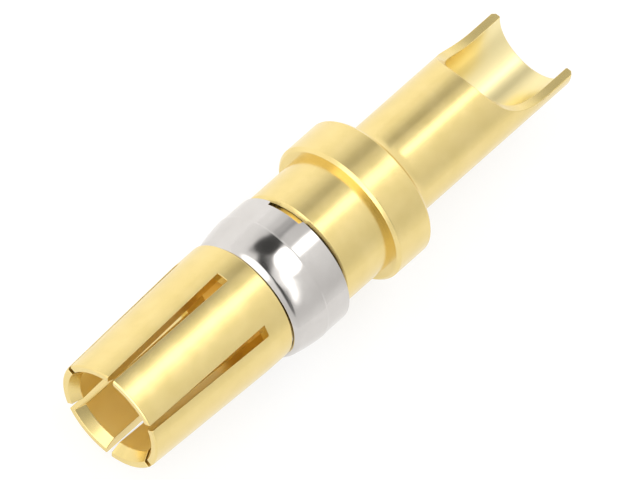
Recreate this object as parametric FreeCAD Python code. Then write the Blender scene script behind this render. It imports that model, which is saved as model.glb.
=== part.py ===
# Socket contact for a high-current connector cavity: a turned, gold-plated body with six spring
# tines in front and a solder cup behind, and the sprung steel ring that holds it in its cavity.
#
# Millimetres. The contact's axis is X, with the mouth towards -X and the solder cup towards +X.
# The origin is on the axis, in the plane of the flange's front shoulder. +Z is up when the contact
# lies on a bench, on its flange and one tine; the cup is then open upwards and a little to one side.
# Each piece is drawn with the cup open straight up and then turned about the axis to lie like that.
# Angles round the axis are in degrees, counted from the middle of the cup's opening towards -Y.
import FreeCAD, Part
import math
import os

Vector = FreeCAD.Vector

# Front: the ring that carries the tines, and the tines themselves
FRONT_D = 4.91
FRONT_RING_LENGTH = 1.02
FRONT_REAR_BREAK = 0.04
SOCKET_BORE_D = 3.92
SOCKET_BORE_BEHIND_SLOTS = 0.86
TINE_COUNT = 6
SLOT_WIDTH = 0.47
SLOT_LENGTH = 5.84
SLOT_TURN = -2.6
TIP_CLOSING = 0.23
BEND_DISTANCE = 0.10
MOUTH_BREAK = 0.05
LEAD_IN_WIDTH = 0.23
LEAD_IN_LENGTH = 0.40

# Groove for the retaining ring
GROOVE_D = 4.30
GROOVE_LENGTH = 2.74

# Neck and flange
NECK_D = 4.94
NECK_LENGTH = 2.33
NECK_CHAMFER = 0.14
FLANGE_D = 5.80
FLANGE_LENGTH = 1.77
FLANGE_CHAMFER = 0.12
FLANGE_REAR_FILLET = 0.80

# Solder cup
BARREL_D = 3.80
BARREL_LENGTH = 8.58
BARREL_END_BREAK = 0.12
CUP_BORE_D = 3.12
CUP_DEPTH = 6.70
CUP_BORE_BREAK = 0.04
LIP_HEIGHT = 0.0
LIP_LENGTH = 1.18
CUTTER_RADIUS = 3.0

# Cone angle that a drill leaves at the bottom of both bores
DRILL_POINT_ANGLE = 118.0

# Retaining ring, rolled from spring steel strip
STRIP_THICKNESS = 0.18
RING_FRONT_GAP = 0.04
RING_REAR_GAP = 0.15
RING_FLARE_D = 5.05
RING_CREST_D = 5.40
RING_REAR_D = 5.36
RING_FLARE_LENGTH = 1.14
RING_FLARE_BULGE = 0.022
RING_NOSE_LENGTH = 0.26
RING_NOSE_DROP = 0.14
RING_NOSE_BULGE = 0.022
RING_NOSE_INSIDE_DROP = 0.045
RING_EDGE_BREAK = 0.03
RING_OFFSET = 0.12
RING_OFFSET_TURN = 113.0
RING_SLIT_WIDTH = 0.55
RING_SLIT_TURN = 203.0
RING_NOTCH_DEPTH = 0.17
RING_NOTCH_TURN = -10.5
RING_NOTCH_ANGLE = 33.0

# Places along the axis, worked out from the lengths above
NECK_START = -NECK_LENGTH
GROOVE_START = NECK_START - GROOVE_LENGTH
TINE_ROOT = GROOVE_START - FRONT_RING_LENGTH
MOUTH = TINE_ROOT - SLOT_LENGTH
SOCKET_BOTTOM = TINE_ROOT + SOCKET_BORE_BEHIND_SLOTS
FLANGE_REAR = FLANGE_LENGTH
BARREL_END = FLANGE_REAR + BARREL_LENGTH
CUP_BOTTOM = BARREL_END - CUP_DEPTH

# Tools that cut or trim reach this far past the part
REACH = FLANGE_D

AXIS = Vector(1, 0, 0)
ORIGIN = Vector(0, 0, 0)


def turned(outline, degrees=360):
    """Solid turned about X from an outline of (x, radius) points and arcs, starting above the axis."""
    edges = []
    here = outline[0]
    for step in outline[1:] + [outline[0]]:
        if len(step) == 3:
            # An arc, given by its middle point and its end point
            middle, end = step[1:]
            edges.append(Part.Arc(flat(here), flat(middle), flat(end)).toShape())
            here = end
        else:
            edges.append(Part.LineSegment(flat(here), flat(step)).toShape())
            here = step
    face = Part.Face(Part.Wire(edges))
    return face.revolve(ORIGIN, AXIS, degrees)


def flat(point):
    """A point of an outline, drawn in the plane above the axis."""
    x, radius = point
    return Vector(x, 0, radius)


def turn(shape, degrees):
    """Turns a shape about the contact's axis, from +Z towards -Y."""
    shape.rotate(ORIGIN, AXIS, degrees)
    return shape


def block(x_low, x_high, y_low, y_high, z_low, z_high):
    """Box between two corners."""
    corner = Vector(x_low, y_low, z_low)
    return Part.makeBox(x_high - x_low, y_high - y_low, z_high - z_low, corner)


def drill_point(radius):
    """Length of the cone at the bottom of a drilled hole."""
    return radius / math.tan(math.radians(DRILL_POINT_ANGLE / 2))


def drilled(mouth, bottom, radius):
    """Drilled hole from its mouth to the end of its full diameter, with the drill's cone."""
    inwards = math.copysign(1, bottom - mouth)
    point = bottom + inwards * drill_point(radius)
    start = mouth - inwards * REACH
    return turned([(start, 0), (start, radius), (bottom, radius), (point, 0)])


def rear_body():
    """Everything behind the tines: front ring, groove, neck, flange and barrel."""
    front = FRONT_D / 2
    neck = NECK_D / 2
    flange = FLANGE_D / 2
    barrel = BARREL_D / 2
    groove = GROOVE_D / 2
    fillet_end = FLANGE_REAR + FLANGE_REAR_FILLET
    fillet_middle = FLANGE_REAR_FILLET * (1 - math.cos(math.radians(45)))
    outline = [
        (TINE_ROOT, 0),
        (TINE_ROOT, front),
        (GROOVE_START - FRONT_REAR_BREAK, front),
        (GROOVE_START, front - FRONT_REAR_BREAK),
        (GROOVE_START, groove),
        (NECK_START, groove),
        (NECK_START, neck - NECK_CHAMFER),
        (NECK_START + NECK_CHAMFER, neck),
        (0, neck),
        (0, flange - FLANGE_CHAMFER),
        (FLANGE_CHAMFER, flange),
        (FLANGE_REAR - FLANGE_CHAMFER, flange),
        (FLANGE_REAR, flange - FLANGE_CHAMFER),
        (FLANGE_REAR, barrel + FLANGE_REAR_FILLET),
        ("arc", (FLANGE_REAR + fillet_middle, barrel + fillet_middle), (fillet_end, barrel)),
        (BARREL_END - BARREL_END_BREAK, barrel),
        (BARREL_END, barrel - BARREL_END_BREAK),
        (BARREL_END, 0),
    ]
    body = turned(outline)
    body = body.cut(drilled(MOUTH, SOCKET_BOTTOM, SOCKET_BORE_D / 2))
    body = body.cut(drilled(BARREL_END, CUP_BOTTOM, CUP_BORE_D / 2))
    body = body.cut(cup_end_break())
    return body.cut(cup_cutter())


def cup_end_break():
    """Small chamfer at the mouth of the solder cup."""
    bore = CUP_BORE_D / 2
    start = BARREL_END - CUP_BORE_BREAK
    return turned([(start, 0), (start, bore), (BARREL_END, bore + CUP_BORE_BREAK), (BARREL_END, 0)])


def cup_cutter():
    """What a side cutter takes away to open the cup: a flat at the lips and a round run-out."""
    flat_start = BARREL_END - LIP_LENGTH
    centre_z = LIP_HEIGHT + CUTTER_RADIUS
    cutter = Part.makeCylinder(
        CUTTER_RADIUS, 2 * REACH, Vector(flat_start, -REACH, centre_z), Vector(0, 1, 0)
    )
    beside = block(flat_start, BARREL_END + REACH, -REACH, REACH, LIP_HEIGHT, centre_z + REACH)
    return cutter.fuse(beside)


def tine_wedge(x_low, x_high):
    """Space of one tine between the middle planes of its two slots, less half a slot each side."""
    half_angle = math.pi / TINE_COUNT
    apex = SLOT_WIDTH / 2 / math.sin(half_angle)
    half_width = (REACH - apex) * math.tan(half_angle)
    corners = [
        Vector(x_low, 0, apex),
        Vector(x_low, half_width, REACH),
        Vector(x_low, -half_width, REACH),
        Vector(x_low, 0, apex),
    ]
    return Part.Face(Part.makePolygon(corners)).extrude(Vector(x_high - x_low, 0, 0))


def bend_angle():
    """How far each tine is bent inwards near its root, in degrees."""
    return math.degrees(math.asin(TIP_CLOSING / (SLOT_LENGTH - BEND_DISTANCE)))


def bend_line():
    """Point on the outside of the tine's root that the bend turns about."""
    return Vector(TINE_ROOT - BEND_DISTANCE, 0, FRONT_D / 2)


def tip_side():
    """Half space in front of the bend's middle plane, where both straight stretches are mitred."""
    front = TINE_ROOT - BEND_DISTANCE
    space = block(front - 2 * REACH, front, -REACH, REACH, -REACH, 2 * REACH)
    space.rotate(bend_line(), Vector(0, 1, 0), -bend_angle() / 2)
    return space


def straight_tine(rear):
    """One tine before bending, pointing up, from the mouth to a place behind it."""
    front = FRONT_D / 2
    bore = SOCKET_BORE_D / 2
    outline = [
        (MOUTH, bore + LEAD_IN_WIDTH),
        (MOUTH, front - MOUTH_BREAK),
        (MOUTH + MOUTH_BREAK, front),
        (rear, front),
        (rear, bore),
        (MOUTH + LEAD_IN_LENGTH, bore),
    ]
    return turned(outline).common(tine_wedge(MOUTH - REACH, rear + REACH))


def tine():
    """One spring tine, pointing up: a short straight root, then the stretch that is bent inwards."""
    root = straight_tine(TINE_ROOT).cut(tip_side())
    bent = straight_tine(TINE_ROOT + FRONT_D / 2)
    bent.rotate(bend_line(), Vector(0, 1, 0), -bend_angle())
    return root.fuse(bent.common(tip_side()))


def contact_body():
    """The turned body with its tines."""
    first = tine()
    pitch = 360 / TINE_COUNT
    tines = [turn(first.copy(), SLOT_TURN + (n + 0.5) * pitch) for n in range(TINE_COUNT)]
    return rear_body().fuse(tines).removeSplitter()


def retaining_clip():
    """The sprung ring in its groove: a slit, flared strip with a notch in its rear edge."""
    front_edge = GROOVE_START + RING_FRONT_GAP
    rear_edge = NECK_START - RING_REAR_GAP
    flare_start = front_edge + RING_NOSE_LENGTH
    crest = flare_start + RING_FLARE_LENGTH
    step = 2 * RING_EDGE_BREAK
    thickness = STRIP_THICKNESS
    flare = RING_FLARE_D / 2
    nose = flare - RING_NOSE_DROP
    nose_inside = flare - thickness - RING_NOSE_INSIDE_DROP
    top = RING_CREST_D / 2
    tail = RING_REAR_D / 2
    nose_middle = ((front_edge + flare_start) / 2, (nose + flare) / 2 + RING_NOSE_BULGE)
    middle = (flare_start + crest) / 2
    bulged = (flare + top) / 2 + RING_FLARE_BULGE
    outline = [
        (front_edge, nose_inside),
        (front_edge, nose),
        ("arc", nose_middle, (flare_start, flare)),
        ("arc", (middle, bulged), (crest, top)),
        (crest + step, tail),
        (rear_edge - RING_EDGE_BREAK, tail),
        (rear_edge, tail - RING_EDGE_BREAK),
        (rear_edge, tail - thickness + RING_EDGE_BREAK),
        (rear_edge - RING_EDGE_BREAK, tail - thickness),
        (crest + step, tail - thickness),
        (crest, top - thickness),
        ("arc", (middle, bulged - thickness), (flare_start, flare - thickness)),
    ]
    ring = turned(outline)
    half_slit = RING_SLIT_WIDTH / 2
    slit = block(front_edge - REACH, rear_edge + REACH, -half_slit, half_slit, 0, REACH)
    ring = ring.cut(turn(slit, RING_SLIT_TURN))
    ring = ring.cut(notch(rear_edge))
    sideways = math.radians(RING_OFFSET_TURN)
    ring.translate(Vector(0, -math.sin(sideways), math.cos(sideways)) * RING_OFFSET)
    return ring


def notch(rear_edge):
    """Sector that is missing from the ring's rear edge."""
    front = rear_edge - RING_NOTCH_DEPTH
    rear = rear_edge + REACH
    sector = turned([(front, 0), (front, REACH), (rear, REACH), (rear, 0)], RING_NOTCH_ANGLE)
    return turn(sector, RING_NOTCH_TURN - RING_NOTCH_ANGLE / 2)


def as_it_lies(shape):
    """Turns a finished piece from the cup's side up to how the contact lies, one tine at the bottom."""
    return turn(shape, -(SLOT_TURN + 180 / TINE_COUNT))


def export(name, shape):
    """Writes one sub-part, after a check that it is a single sound solid."""
    solids = shape.Solids
    if len(solids) != 1 or not shape.isValid():
        raise ValueError(name + " is not one sound solid")
    solids[0].exportStep(os.path.join("parts", name + ".step"))
    box = shape.BoundBox
    print(name, "volume", round(shape.Volume, 3), "faces", len(shape.Faces))
    print("  x", round(box.XMin, 3), round(box.XMax, 3), "z", round(box.ZMin, 3), round(box.ZMax, 3))


os.makedirs("parts", exist_ok=True)
export("contact_body", as_it_lies(contact_body()))
export("retaining_clip", as_it_lies(retaining_clip()))
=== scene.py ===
import math

import bmesh
import bpy
import numpy as np
from mathutils import Matrix, Vector


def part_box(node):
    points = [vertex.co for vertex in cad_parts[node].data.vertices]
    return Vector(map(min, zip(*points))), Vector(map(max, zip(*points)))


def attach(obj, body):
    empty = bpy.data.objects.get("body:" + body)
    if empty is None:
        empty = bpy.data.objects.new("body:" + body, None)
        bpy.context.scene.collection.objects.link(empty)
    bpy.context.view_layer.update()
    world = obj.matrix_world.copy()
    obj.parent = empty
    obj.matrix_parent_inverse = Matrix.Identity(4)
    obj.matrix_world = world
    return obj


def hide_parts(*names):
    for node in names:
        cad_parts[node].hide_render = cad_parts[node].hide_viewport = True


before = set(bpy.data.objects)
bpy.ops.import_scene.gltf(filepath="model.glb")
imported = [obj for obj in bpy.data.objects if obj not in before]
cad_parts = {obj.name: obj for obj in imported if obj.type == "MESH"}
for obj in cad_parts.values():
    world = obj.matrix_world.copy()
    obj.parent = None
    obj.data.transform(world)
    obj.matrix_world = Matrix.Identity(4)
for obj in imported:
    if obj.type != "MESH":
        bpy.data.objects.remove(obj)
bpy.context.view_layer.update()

# Lengths below are millimetres along and from the contact's axis, with the flange's front shoulder at
# zero, as in the CAD source. Angles are degrees from the middle of the cup's opening towards -Y.
MM = 0.001
body_low, body_high = (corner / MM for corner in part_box("contact_body"))
clip_low, clip_high = (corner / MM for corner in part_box("retaining_clip"))

# The opening of the solder cup leans this far over from straight up as the contact lies
LYING_TURN = -27.4

# Front ring and tines
FRONT_R = 2.455
FRONT_BREAK = 0.04
BORE_R = 1.96
BORE_BOTTOM = -5.23
TINES = 6
SLOT_WIDTH = 0.47
SLOT_TURN = -2.6
TINE_ROOT = -6.09
MOUTH = -11.93
TIP_CLOSING = 0.23
BEND_DISTANCE = 0.10
MOUTH_BREAK = 0.05
LEAD_IN_WIDTH = 0.23
LEAD_IN_LENGTH = 0.40

# Point angle of the drills, and the slope of the cones that they leave
DRILL_ANGLE = 118.0
DRILL_SLOPE = math.tan(math.radians(DRILL_ANGLE / 2))

# Groove, neck and flange
GROOVE_R = 2.15
GROOVE_START = -5.07
NECK_START = -2.33
NECK_R = 2.47
NECK_CHAMFER = 0.14
FLANGE_R = 2.90
FLANGE_REAR = 1.77
FLANGE_CHAMFER = 0.12
REAR_FILLET = 0.80

# Barrel and solder cup
BARREL_R = 1.90
BARREL_END = body_high.x
BARREL_BREAK = 0.12
CUP_R = 1.56
CUP_BREAK = 0.04
CUP_BOTTOM = 3.65
LIP_LENGTH = 1.18
LIP_START = BARREL_END - LIP_LENGTH
CUTTER_R = 3.0

# Retaining ring
RING_FRONT = clip_low.x
RING_REAR = clip_high.x
STRIP = 0.18
RING_NOSE = 0.26
RING_NOSE_DROP = 0.14
RING_NOSE_INSIDE_DROP = 0.045
RING_FLARE = 1.14
RING_FLARE_R = 2.525
RING_CREST_R = 2.70
RING_CREASE = 0.06
RING_REAR_R = 2.68
RING_BULGE = 0.022
RING_OFFSET = 0.12
RING_OFFSET_TURN = 113.0
RING_SLIT_WIDTH = 0.55
RING_SLIT_TURN = 203.0
RING_NOTCH_DEPTH = 0.17
RING_NOTCH_TURN = -10.5
RING_NOTCH_ANGLE = 33.0

# Columns of faces across one tine, across one slot, round the gold piece and round the retaining ring
TINE_COLUMNS = 52
SLOT_COLUMNS = 8
COLUMNS = TINES * (TINE_COLUMNS + SLOT_COLUMNS)
RING_COLUMNS = 320

# Share of even spacing among the columns across the cup's opening. The rest follows the cut.
EVEN_SHARE = 0.25

# Rows of faces along each stretch, and how far from the ring's rear edge its last inner row lies
TINE_ROWS = 8
FILLET_ROWS = 12
BARREL_ROWS = 16
CUP_ROWS = 8
CUT_ROWS = 3
RING_ROWS = 8
RING_LAST_ROW = 0.5

# Extra rows of faces this close to the corners keep the reflections on the long faces straight
SUPPORT = 0.05
CREASE_SUPPORT = 0.015

# Corners sharper than this are rounded where they stick out, over these widths on gold and on steel and
# with this many rows of faces
SHARP_ANGLE = math.radians(28)
GOLD_EDGE = 0.02
STEEL_EDGE = 0.015
EDGE_ROWS = 2

# A column up to this high over the lips lies at them, and a point this near to the ring's rear edge is
# on it
AT_LIPS = 1e-6
AT_REAR = 0.01

# Which of the gold piece's finishes the bore, the cup and the bottom of the bore have. The bore and the cup
# have a paler gold as painted light, the bottom of the bore a darker gold as painted shade.
IN_BORE_PAINTED_LIGHT = 1
IN_CUP_PAINTED_LIGHT = 2
IN_DRILL_POINT_PAINTED_SHADE = 3

# Finishes, as darker and paler colour and smallest and largest roughness
OUTSIDE = (0.75, 0.585, 0.22, 1), (0.87, 0.695, 0.32, 1), 0.18, 0.29
# The bore's colour is paler than the outside's: painted light inside the bore
BORE_PAINTED_LIGHT = (0.99, 0.79, 0.31, 1), (1.0, 0.83, 0.35, 1), 0.5, 0.6
# The cup's colour is paler than the outside's: painted light on the cup's inside
CUP_PAINTED_LIGHT = (0.90, 0.77, 0.40, 1), (0.94, 0.81, 0.44, 1), 0.29, 0.36
# The drill point's colour is darker than the bore's: painted shade at the bottom of the bore
DRILL_POINT_PAINTED_SHADE = (0.72, 0.47, 0.12, 1), (0.78, 0.53, 0.15, 1), 0.5, 0.6
STEEL = (0.565, 0.538, 0.51, 1), (0.685, 0.656, 0.628, 1), 0.08, 0.18

# Scales per metre and detail of the patterns in the finishes. The turning marks are drawn out round the
# axis, and count less than the grain.
GOLD_CLOUDS = 1300, 6
STEEL_CLOUDS = 1100, 6
GRAIN = 30000, 1
TURNING_MARKS = 22000, 2
MARK_STRETCH = (1, 0.03, 0.03)
MARK_SHARE = 0.6
STEEL_WAVES = 700, 2

# Strength of the relief in each finish, and its depth in millimetres
GOLD_RELIEF = 0.02, 0.004
STEEL_RELIEF = 0.5, 0.04

# Floor: half its size in metres, its paint, and its glow from the near to the far side of the contact
FLOOR_REACH = 1.0
FLOOR_PAINT = (0.34, 0.34, 0.34, 1)
FLOOR_ROUGHNESS = 0.9
GLOW_START = -6
GLOW_END = 14
GLOW_NEAR = 0.68
GLOW_FAR = 0.84

# Studio: its brightness changes from the near to the far side between these angles, and blends into a
# brightness like the floor's below this height of a direction
VIEW_TILT = 4.4
NEAR_ANGLE = -80
FAR_ANGLE = 10
LIGHT_NEAR = 0.80
LIGHT_FAR = 1.10
HORIZON_BLEND = 0.4
HORIZON_NEAR = 0.98
HORIZON_FAR = 1.14

# Oval panels of the studio: angles towards the mouth and the far side, half height and half width in
# degrees, softness of the edge, turn in degrees, brightness. Later ones lie over earlier ones.
PANELS = [
    (90, 0, 28, 400, 0.25, 0, 3.6),
    (-24, 25, 16, 16, 0.3, 0, 0.84),
    (-32, 52, 25, 15, 0.5, 0, 0.86),
    (-32, 45, 25, 8.5, 0.35, 0, 0.60),
    (-28, 40, 7, 3, 0.4, 0, 0.46),
    (12, -36, 15, 34, 0.25, 0, 0.25),
    (38, 34, 35, 32, 0.15, 0, 2.0),
    (-7, 24, 5, 15, 0.4, 0, 0.35),
    (6.5, -4, 4.2, 48, 0.3, 15, 0.03),
    (-12, 41, 7.4, 17, 0.2, -8, 0.06),
    (-12.5, 3, 6.8, 21, 0.06, 0, 3.0),
    (-27.5, 6, 10, 8.5, 0.2, 0, 2.5),
    (-5.8, -28, 1.9, 28, 0.3, 0, 3.0),
]

# Camera: width and scale of the picture in pixels, the turn of the contact in it, the directions that
# lie along and across the contact in the picture, the direction towards the camera, the point seen in
# the picture's middle, and a lens so long that almost no perspective shows
PICTURE_WIDTH = 640
PIXELS_PER_MM = 28.5
PICTURE_TURN = math.radians(41.5)
SEEN_ALONG = Vector((0.893, 0.0343, 0.4486)).normalized()
SEEN_ACROSS = Vector((0, -0.9971, 0.0765))
TOWARDS_CAMERA = Vector((-0.45, 0.0685, 0.8904))
SEEN_MIDDLE = Vector((-1.167, -0.23232, 0.01787))
LENS = 1250
SENSOR = 36
CLIP_START = 0.01
CLIP_END = 10


def at(x, radius, degrees):
    """Point at a place along the axis, a radius and an angle from the cup's opening."""
    angle = math.radians(degrees + LYING_TURN)
    return Vector((x, -radius * math.sin(angle), radius * math.cos(angle)))


class Skin:
    """Collects the points and faces of one closed mesh, in millimetres."""

    def __init__(self):
        self.points = []
        self.faces = []
        self.finishes = []

    def row(self, points):
        """Adds points and gives their numbers."""
        start = len(self.points)
        self.points.extend(points)
        return list(range(start, len(self.points)))

    def strip(self, first, second, closed=False):
        """Quads between two rows of equally many points."""
        count = len(first)
        for i in range(count if closed else count - 1):
            j = (i + 1) % count
            self.faces.append((first[i], first[j], second[j], second[i]))

    def fan(self, row, tip):
        """Triangles from a closed row to one point."""
        centre = self.row([tip])[0]
        for i, point in enumerate(row):
            self.faces.append((point, row[(i + 1) % len(row)], centre))

    def finish_since(self, first_face, number):
        """Gives the faces made since a count another of the piece's finishes."""
        self.finishes.extend((face, number) for face in range(first_face, len(self.faces)))

    def piece(self, name, materials, edge):
        """Makes the mesh with its faces turned outwards and its outer edges rounded."""
        mesh = bpy.data.meshes.new(name)
        mesh.from_pydata([point * MM for point in self.points], [], self.faces)
        shape = bmesh.new()
        shape.from_mesh(mesh)
        bmesh.ops.recalc_face_normals(shape, faces=shape.faces)
        for face in shape.faces:
            face.smooth = True
        rounded = shape.edges.layers.float.new("bevel_weight_edge")
        for side in shape.edges:
            if side.calc_face_angle() > SHARP_ANGLE:
                if side.is_convex:
                    side[rounded] = 1.0
                else:
                    side.smooth = False
        shape.to_mesh(mesh)
        shape.free()
        for material in materials:
            mesh.materials.append(material)
        for face, number in self.finishes:
            mesh.polygons[face].material_index = number
        piece = bpy.data.objects.new(name, mesh)
        bpy.context.collection.objects.link(piece)
        bevel = piece.modifiers.new("fine_edges", "BEVEL")
        bevel.width = edge * MM
        bevel.segments = EDGE_ROWS
        bevel.limit_method = "WEIGHT"
        bevel.use_clamp_overlap = False
        bevel.harden_normals = True
        return piece


def tine_angles(number, radius):
    """Angles of the columns across one tine, whose slots have parallel sides."""
    middle = SLOT_TURN + (number + 0.5) * 360 / TINES
    half = 180 / TINES - math.degrees(math.asin(SLOT_WIDTH / 2 / radius))
    return [middle + half * (2 * i / TINE_COLUMNS - 1) for i in range(TINE_COLUMNS + 1)]


def front_angles(radius):
    """Angles of all columns at the front: across each tine, then across the slot beside it."""
    angles = []
    half = math.degrees(math.asin(SLOT_WIDTH / 2 / radius))
    for number in range(TINES):
        angles += tine_angles(number, radius)
        slot = SLOT_TURN + (number + 1) * 360 / TINES
        angles += [slot + half * (2 * i / SLOT_COLUMNS - 1) for i in range(1, SLOT_COLUMNS)]
    return angles


def opening_angle(share):
    """Angle of a column in the cup's opening: close together at the lips, where the cut runs flat."""
    sweep = math.acos(1 - BARREL_R / CUTTER_R) * (1 - abs(share))
    height = CUTTER_R * (1 - math.cos(sweep))
    by_cut = math.degrees(math.acos(min(height / BARREL_R, 1)))
    return math.copysign(EVEN_SHARE * 90 * abs(share) + (1 - EVEN_SHARE) * by_cut, share)


def rear_angles():
    """Angles of all columns at the rear, the first at one lip: the opening, then the closed half."""
    half = COLUMNS // 2
    opening = [opening_angle(2 * i / half - 1) for i in range(half)]
    closed = [90 + 180 * i / half for i in range(half)]
    return opening + closed


def wall_end(degrees, radius):
    """How far along the axis the wall goes at an angle: to the side cutter's mark, or to the lips."""
    height = radius * math.cos(math.radians(degrees))
    if height <= AT_LIPS:
        return LIP_START
    drop = CUTTER_R - height
    return LIP_START - math.sqrt(max(CUTTER_R**2 - drop**2, 0))


def bent(point, number):
    """Bends a point of a tine inwards about a line near the tine's root."""
    start = TINE_ROOT - BEND_DISTANCE
    if point.x > start:
        return point
    middle = SLOT_TURN + (number + 0.5) * 360 / TINES
    hinge = at(start, FRONT_R, middle)
    outwards = at(0, 1, middle)
    angle = math.asin(TIP_CLOSING / (start - MOUTH))
    turn = Matrix.Rotation(angle, 3, outwards.cross(Vector((-1, 0, 0))))
    return hinge + turn @ (point - hinge)


def add_tines(skin, inner_root, outer_root):
    """Tines, each with its inside, outside, two sides and the lead-in at the mouth."""
    straight = np.linspace(TINE_ROOT - BEND_DISTANCE, MOUTH + LEAD_IN_LENGTH, TINE_ROWS + 1)
    slope = LEAD_IN_WIDTH / LEAD_IN_LENGTH
    stations = [(x, BORE_R, FRONT_R) for x in straight]
    break_inner = BORE_R + slope * (LEAD_IN_LENGTH - MOUTH_BREAK)
    stations.append((MOUTH + MOUTH_BREAK, break_inner, FRONT_R))
    stations.append((MOUTH, BORE_R + LEAD_IN_WIDTH, FRONT_R - MOUTH_BREAK))
    for number in range(TINES):
        first = number * (TINE_COLUMNS + SLOT_COLUMNS)
        inner = inner_root[first : first + TINE_COLUMNS + 1]
        outer = outer_root[first : first + TINE_COLUMNS + 1]
        for x, inner_r, outer_r in stations:
            next_inner = skin.row([bent(at(x, inner_r, a), number) for a in tine_angles(number, inner_r)])
            next_outer = skin.row([bent(at(x, outer_r, a), number) for a in tine_angles(number, outer_r)])
            skin.strip(outer, next_outer)
            inside = len(skin.faces)
            skin.strip(inner, next_inner)
            # The tines' insides take the bore's paler gold, painted light
            if inner_r == BORE_R:
                skin.finish_since(inside, IN_BORE_PAINTED_LIGHT)
            for side in (0, -1):
                skin.strip([inner[side], next_inner[side]], [outer[side], next_outer[side]])
            inner, outer = next_inner, next_outer
        skin.strip(inner, outer)
        slot = [(first + TINE_COLUMNS + i) % COLUMNS for i in range(SLOT_COLUMNS + 1)]
        skin.strip([inner_root[i] for i in slot], [outer_root[i] for i in slot])


def turned_outline():
    """Places and radii of the front ring, groove, neck, flange and the fillet behind it."""
    outline = [
        (TINE_ROOT + SUPPORT, FRONT_R),
        (GROOVE_START - FRONT_BREAK - SUPPORT, FRONT_R),
        (GROOVE_START - FRONT_BREAK, FRONT_R),
        (GROOVE_START, FRONT_R - FRONT_BREAK),
        (GROOVE_START, GROOVE_R),
        (NECK_START, GROOVE_R),
        (NECK_START, NECK_R - NECK_CHAMFER),
        (NECK_START + NECK_CHAMFER, NECK_R),
        (NECK_START + NECK_CHAMFER + SUPPORT, NECK_R),
        (-SUPPORT, NECK_R),
        (0, NECK_R),
        (0, NECK_R + SUPPORT),
        (0, FLANGE_R - FLANGE_CHAMFER - SUPPORT),
        (0, FLANGE_R - FLANGE_CHAMFER),
        (FLANGE_CHAMFER, FLANGE_R),
        (FLANGE_CHAMFER + SUPPORT, FLANGE_R),
        (FLANGE_REAR - FLANGE_CHAMFER - SUPPORT, FLANGE_R),
        (FLANGE_REAR - FLANGE_CHAMFER, FLANGE_R),
        (FLANGE_REAR, FLANGE_R - FLANGE_CHAMFER),
    ]
    for step in range(FILLET_ROWS + 1):
        turned = math.radians(90 * step / FILLET_ROWS)
        x = FLANGE_REAR + REAR_FILLET * (1 - math.cos(turned))
        outline.append((x, BARREL_R + REAR_FILLET * (1 - math.sin(turned))))
    return outline


def add_barrel(skin, last, angles, rear):
    """Barrel as far as the cut that opens the cup, with the columns now counted from a lip. They shift
    on the way from where the slots need them to where the cut needs them."""
    nearest = min(range(COLUMNS), key=lambda i: abs((angles[i] + 90 + 180) % 360 - 180))
    last = last[nearest:] + last[:nearest]
    front = angles[nearest:] + angles[:nearest]
    front = [a + 360 * round((b - a) / 360) for a, b in zip(front, rear)]
    start = FLANGE_REAR + REAR_FILLET
    for share in np.linspace(0, 1, BARREL_ROWS + 1)[1:]:
        places = [start + share * (wall_end(a, BARREL_R) - start) for a in rear]
        turns = [a + share * (b - a) for a, b in zip(front, rear)]
        ring = skin.row([at(x, BARREL_R, a) for x, a in zip(places, turns)])
        skin.strip(last, ring, closed=True)
        last = ring
    return last


def add_cup(skin, outer_edge, rear):
    """The cup's inside, the face that the side cutter leaves, and the closed half with its lips."""
    inside = len(skin.faces)
    rings = []
    for share in np.linspace(0, 1, CUP_ROWS + 1):
        places = [CUP_BOTTOM + share * (wall_end(a, CUP_R) - CUP_BOTTOM) for a in rear]
        ring = skin.row([at(x, CUP_R, a) for x, a in zip(places, rear)])
        if rings:
            skin.strip(rings[-1], ring, closed=True)
        rings.append(ring)
    skin.fan(rings[0], at(CUP_BOTTOM - CUP_R / DRILL_SLOPE, 0, 0))
    # The cup's inside takes the paler gold, painted light
    skin.finish_since(inside, IN_CUP_PAINTED_LIGHT)
    inner_edge = rings[-1]

    # Face that the side cutter leaves on the wall
    half = COLUMNS // 2
    opening = list(range(half + 1))
    cut_rows = [[outer_edge[i] for i in opening]]
    for step in range(1, CUT_ROWS):
        radius = BARREL_R + step / CUT_ROWS * (CUP_R - BARREL_R)
        cut_rows.append(skin.row([at(wall_end(rear[i], radius), radius, rear[i]) for i in opening]))
    cut_rows.append([inner_edge[i] for i in opening])
    for one, other in zip(cut_rows, cut_rows[1:]):
        skin.strip(one, other)

    # Closed half of the wall as far as its end, back along the inside, and the flat lips
    closed_half = [i % COLUMNS for i in range(half, COLUMNS + 1)]
    lip_outline = [
        (BARREL_END - BARREL_BREAK, BARREL_R),
        (BARREL_END, BARREL_R - BARREL_BREAK),
        (BARREL_END, CUP_R + CUP_BREAK),
        (BARREL_END - CUP_BREAK, CUP_R),
    ]
    rows = [[outer_edge[i] for i in closed_half]]
    for x, radius in lip_outline:
        rows.append(skin.row([at(x, radius, rear[i] + (360 if i == 0 else 0)) for i in closed_half]))
    for one, other in zip(rows, rows[1:]):
        skin.strip(one, other)
    inside = len(skin.faces)
    rows.append([inner_edge[i] for i in closed_half])
    skin.strip(rows[-2], rows[-1])
    # This inner strip of the cup also takes the paler gold, painted light
    skin.finish_since(inside, IN_CUP_PAINTED_LIGHT)
    for side, end in ((0, -1), (-1, 0)):
        lip = [row[side] for row in rows]
        lip += [row[end] for row in reversed(cut_rows[1:-1])]
        skin.faces.append(tuple(lip))


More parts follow.
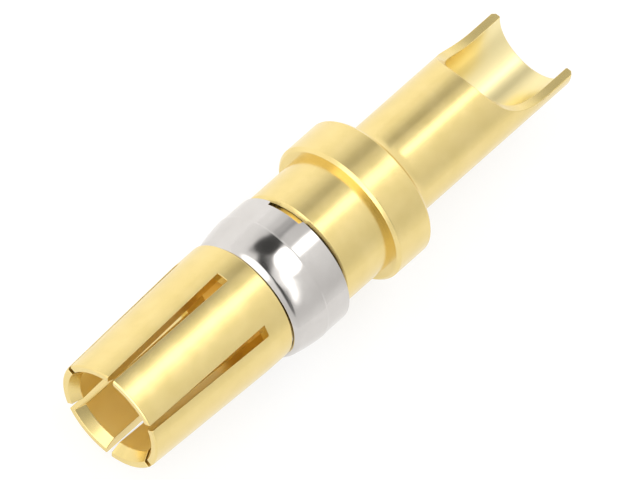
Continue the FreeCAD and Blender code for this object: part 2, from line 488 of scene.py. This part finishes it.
def contact():
    """The gold body in one closed skin, from the bottom of the socket to the bottom of the cup."""
    skin = Skin()
    bore_angles = front_angles(BORE_R)
    bottom = skin.row([at(BORE_BOTTOM, BORE_R, a) for a in bore_angles])
    skin.fan(bottom, at(BORE_BOTTOM + BORE_R / DRILL_SLOPE, 0, 0))
    # The bottom of the bore takes the darker gold, painted shade
    skin.finish_since(0, IN_DRILL_POINT_PAINTED_SHADE)
    wall = len(skin.faces)
    inner_root = skin.row([at(TINE_ROOT, BORE_R, a) for a in bore_angles])
    skin.strip(bottom, inner_root, closed=True)
    # The bore's wall takes the paler gold, painted light
    skin.finish_since(wall, IN_BORE_PAINTED_LIGHT)

    angles = front_angles(FRONT_R)
    outer_root = skin.row([at(TINE_ROOT, FRONT_R, a) for a in angles])
    add_tines(skin, inner_root, outer_root)
    last = outer_root
    for x, radius in turned_outline():
        ring = skin.row([at(x, radius, a) for a in angles])
        skin.strip(last, ring, closed=True)
        last = ring
    rear = rear_angles()
    add_cup(skin, add_barrel(skin, last, angles, rear), rear)
    return skin


def ring_profile():
    """Closed outline of the ring's strip, as places and radii: the outside, then the inside back."""
    flare_start = RING_FRONT + RING_NOSE
    crest = flare_start + RING_FLARE
    stretches = [
        (RING_FRONT, RING_FLARE_R - RING_NOSE_DROP, flare_start, RING_FLARE_R),
        (flare_start, RING_FLARE_R, crest, RING_CREST_R),
    ]
    outer = []
    for x_low, r_low, x_high, r_high in stretches:
        shares = [step / RING_ROWS for step in range(RING_ROWS)]
        if x_high == crest:
            shares += [1 - CREASE_SUPPORT / RING_FLARE, 1]
        for share in shares:
            bulge = 4 * share * (1 - share) * RING_BULGE
            outer.append((x_low + share * (x_high - x_low), r_low + share * (r_high - r_low) + bulge))
    behind = crest + RING_CREASE
    for x in (behind, behind + CREASE_SUPPORT, RING_REAR - RING_LAST_ROW, RING_REAR):
        outer.append((x, RING_REAR_R))
    inner = [(RING_FRONT, RING_FLARE_R - STRIP - RING_NOSE_INSIDE_DROP)]
    inner += [(x, radius - STRIP) for x, radius in outer[RING_ROWS:]]
    return outer + inner[::-1]


def retaining_ring():
    """The sprung ring: a thin strip, flared in front, straight behind, slit on the hidden side."""
    skin = Skin()
    profile = ring_profile()
    sideways = at(0, RING_OFFSET, RING_OFFSET_TURN)
    columns = []
    for i in range(RING_COLUMNS + 1):
        points = []
        for x, radius in profile:
            half_slit = math.degrees(math.asin(RING_SLIT_WIDTH / 2 / radius))
            angle = RING_SLIT_TURN + half_slit + (360 - 2 * half_slit) * i / RING_COLUMNS
            off_notch = abs((angle - RING_NOTCH_TURN + 180) % 360 - 180)
            if x > RING_REAR - AT_REAR and off_notch < RING_NOTCH_ANGLE / 2:
                x -= RING_NOTCH_DEPTH
            points.append(at(x, radius, angle) + sideways)
        columns.append(skin.row(points))
    for one, other in zip(columns, columns[1:]):
        skin.strip(one, other, closed=True)
    for column in (columns[0], columns[-1]):
        skin.faces.append(tuple(column))
    return skin


def nodes_of(owner):
    """Node list and linking function of a material or world."""
    owner.use_nodes = True
    return owner.node_tree.nodes, owner.node_tree.links.new


def shader_of(material):
    """A material's Principled shader."""
    return material.node_tree.nodes["Principled BSDF"]


def pattern(material, place, scale, detail):
    """Noise from 0 to 1 on some coordinates."""
    nodes, link = nodes_of(material)
    noise = nodes.new("ShaderNodeTexNoise")
    noise.inputs["Scale"].default_value = scale
    noise.inputs["Detail"].default_value = detail
    link(place, noise.inputs["Vector"])
    return noise.outputs["Fac"]


def metal(name, clouds, darker, paler):
    """Makes a metal with faint clouds in its colour, and gives it with its coordinates and clouds."""
    material = bpy.data.materials.new(name)
    nodes, link = nodes_of(material)
    shader_of(material).inputs["Metallic"].default_value = 1.0
    place = nodes.new("ShaderNodeTexCoord").outputs["Object"]
    share = pattern(material, place, *clouds)
    tint = nodes.new("ShaderNodeMix")
    tint.data_type = "RGBA"
    tint.inputs["A"].default_value = darker
    tint.inputs["B"].default_value = paler
    link(share, tint.inputs["Factor"])
    link(tint.outputs["Result"], shader_of(material).inputs["Base Color"])
    return material, place, share


def set_roughness(material, share, smoothest, roughest):
    """Lets a pattern vary the roughness."""
    nodes, link = nodes_of(material)
    rough = nodes.new("ShaderNodeMapRange")
    rough.inputs["To Min"].default_value = smoothest
    rough.inputs["To Max"].default_value = roughest
    link(share, rough.inputs["Value"])
    link(rough.outputs["Result"], shader_of(material).inputs["Roughness"])


def set_relief(material, heights, strength, depth):
    """Lets a pattern raise the surface a little."""
    nodes, link = nodes_of(material)
    bump = nodes.new("ShaderNodeBump")
    bump.inputs["Strength"].default_value = strength
    bump.inputs["Distance"].default_value = depth * MM
    link(heights, bump.inputs["Height"])
    link(bump.outputs["Normal"], shader_of(material).inputs["Normal"])


def gold(name, darker, paler, smoothest, roughest):
    """Satin gold plating with a fine grain, faint turning marks and faint clouds."""
    material, place, clouds = metal(name, GOLD_CLOUDS, darker, paler)
    set_roughness(material, clouds, smoothest, roughest)
    nodes, link = nodes_of(material)
    stretched = nodes.new("ShaderNodeVectorMath")
    stretched.operation = "MULTIPLY"
    stretched.inputs[1].default_value = MARK_STRETCH
    link(place, stretched.inputs[0])
    heights = nodes.new("ShaderNodeMath")
    heights.operation = "MULTIPLY_ADD"
    heights.inputs[1].default_value = MARK_SHARE
    link(pattern(material, stretched.outputs["Vector"], *TURNING_MARKS), heights.inputs[0])
    link(pattern(material, place, *GRAIN), heights.inputs[2])
    set_relief(material, heights.outputs["Value"], *GOLD_RELIEF)
    return material


def steel(name, darker, paler, smoothest, roughest):
    """Polished spring steel, a little wavy from rolling."""
    material, place, _ = metal(name, STEEL_CLOUDS, darker, paler)
    waves = pattern(material, place, *STEEL_WAVES)
    set_roughness(material, waves, smoothest, roughest)
    set_relief(material, waves, *STEEL_RELIEF)
    return material


def ramp(owner, value, low, high, start=0.0, end=1.0):
    """Smooth step of a brightness or share, from a start to an end, as a value goes from low to high."""
    nodes, link = nodes_of(owner)
    step = nodes.new("ShaderNodeMapRange")
    step.interpolation_type = "SMOOTHSTEP"
    for name, number in (("From Min", low), ("From Max", high), ("To Min", start), ("To Max", end)):
        step.inputs[name].default_value = number
    link(value, step.inputs["Value"])
    return step.outputs["Result"]


def lay_floor():
    """Plain pale floor under the contact, a little brighter on its far side."""
    mesh = bpy.data.meshes.new("floor")
    level = body_low.z * MM
    corners = [(x * FLOOR_REACH, y * FLOOR_REACH, level) for x, y in ((-1, -1), (1, -1), (1, 1), (-1, 1))]
    mesh.from_pydata(corners, [], [(0, 1, 2, 3)])
    floor = bpy.data.objects.new("floor", mesh)
    bpy.context.collection.objects.link(floor)
    paint = bpy.data.materials.new("floor_paint")
    nodes, link = nodes_of(paint)
    shader = shader_of(paint)
    shader.inputs["Base Color"].default_value = FLOOR_PAINT
    shader.inputs["Roughness"].default_value = FLOOR_ROUGHNESS
    shader.inputs["Specular IOR Level"].default_value = 0.0
    shader.inputs["Emission Color"].default_value = (1, 1, 1, 1)
    parts = nodes.new("ShaderNodeSeparateXYZ")
    link(nodes.new("ShaderNodeTexCoord").outputs["Object"], parts.inputs["Vector"])
    glow = ramp(paint, parts.outputs["Y"], GLOW_START * MM, GLOW_END * MM, GLOW_NEAR, GLOW_FAR)
    link(glow, shader.inputs["Emission Strength"])
    mesh.materials.append(paint)


def studio():
    """Soft white studio round the contact, with the panels that show in the metal."""
    world = bpy.data.worlds.new("studio")
    bpy.context.scene.world = world
    nodes, link = nodes_of(world)

    def result(operation, *values):
        """A Math node on one or more values or constants."""
        step = nodes.new("ShaderNodeMath")
        step.operation = operation
        for socket, value in zip(step.inputs, values):
            if isinstance(value, (int, float)):
                socket.default_value = value
            else:
                link(value, socket)
        return step.outputs["Value"]

    def painted(light, mask, brightness):
        """The studio's light with another brightness where a mask is on."""
        mix = nodes.new("ShaderNodeMix")
        link(mask, mix.inputs["Factor"])
        link(light, mix.inputs["A"])
        if isinstance(brightness, (int, float)):
            mix.inputs["B"].default_value = brightness
        else:
            link(brightness, mix.inputs["B"])
        return mix.outputs["Result"]

    # Two angles of a direction in degrees: towards the mouth, and towards the far side
    parts = nodes.new("ShaderNodeSeparateXYZ")
    link(nodes.new("ShaderNodeTexCoord").outputs["Generated"], parts.inputs["Vector"])
    along, across, upwards = (parts.outputs[name] for name in "XYZ")
    to_mouth = result("DEGREES", result("ARCSINE", result("MULTIPLY", along, -1.0)))
    to_far_side = result("SUBTRACT", result("DEGREES", result("ARCTAN2", across, upwards)), VIEW_TILT)

    # Paler on the far side than on the near side, and like the floor at the horizon
    light = ramp(world, to_far_side, NEAR_ANGLE, FAR_ANGLE, LIGHT_NEAR, LIGHT_FAR)
    level = ramp(world, upwards, 0, HORIZON_BLEND, 1, 0)
    light = painted(light, level, ramp(world, across, -1, 1, HORIZON_NEAR, HORIZON_FAR))

    for mouth_angle, side_angle, height, width, softness, turned, brightness in PANELS:
        cosine, sine = math.cos(math.radians(turned)), math.sin(math.radians(turned))
        up = result("SUBTRACT", to_mouth, mouth_angle)
        over = result("SUBTRACT", to_far_side, side_angle)
        long = result("ADD", result("MULTIPLY", up, cosine / height), result("MULTIPLY", over, sine / height))
        wide = result("ADD", result("MULTIPLY", over, cosine / width), result("MULTIPLY", up, -sine / width))
        off = result("SQRT", result("ADD", result("POWER", long, 2), result("POWER", wide, 2)))
        light = painted(light, ramp(world, off, 1 + softness, 1 - softness), brightness)
    nodes["Background"].inputs["Color"].default_value = (1, 1, 1, 1)
    link(light, nodes["Background"].inputs["Strength"])


def camera():
    """Camera with the photograph's viewing angle and scale, far away with a long lens."""
    right = SEEN_ALONG * math.cos(PICTURE_TURN) + SEEN_ACROSS * math.sin(PICTURE_TURN)
    right.normalize()
    back = TOWARDS_CAMERA - right * TOWARDS_CAMERA.dot(right)
    back.normalize()
    up = back.cross(right)
    data = bpy.data.cameras.new("camera")
    data.lens = LENS
    data.sensor_width = SENSOR
    data.clip_start = CLIP_START
    data.clip_end = CLIP_END
    eye = bpy.data.objects.new("camera", data)
    bpy.context.collection.objects.link(eye)
    distance = PICTURE_WIDTH / PIXELS_PER_MM * LENS / SENSOR
    place = (SEEN_MIDDLE + back * distance) * MM
    turn = Matrix((right, up, back)).transposed().to_4x4()
    eye.matrix_world = Matrix.Translation(place) @ turn
    bpy.context.scene.camera = eye


def carry(piece, node):
    """Puts a piece in the place of a CAD node."""
    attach(piece, "root")
    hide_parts(node)


# The bore's and the cup's paler gold are painted light, and the drill point's darker gold is painted shade
finishes = [
    gold("gold_plating", *OUTSIDE),
    gold("gold_painted_light_in_bore", *BORE_PAINTED_LIGHT),
    gold("gold_painted_light_in_cup", *CUP_PAINTED_LIGHT),
    gold("gold_painted_shade_in_drill_point", *DRILL_POINT_PAINTED_SHADE),
]
carry(contact().piece("gold_contact", finishes, GOLD_EDGE), "contact_body")
polished = [steel("spring_steel", *STEEL)]
carry(retaining_ring().piece("retaining_ring", polished, STEEL_EDGE), "retaining_clip")
lay_floor()
studio()
camera()
bpy.context.scene.view_settings.view_transform = "Standard"
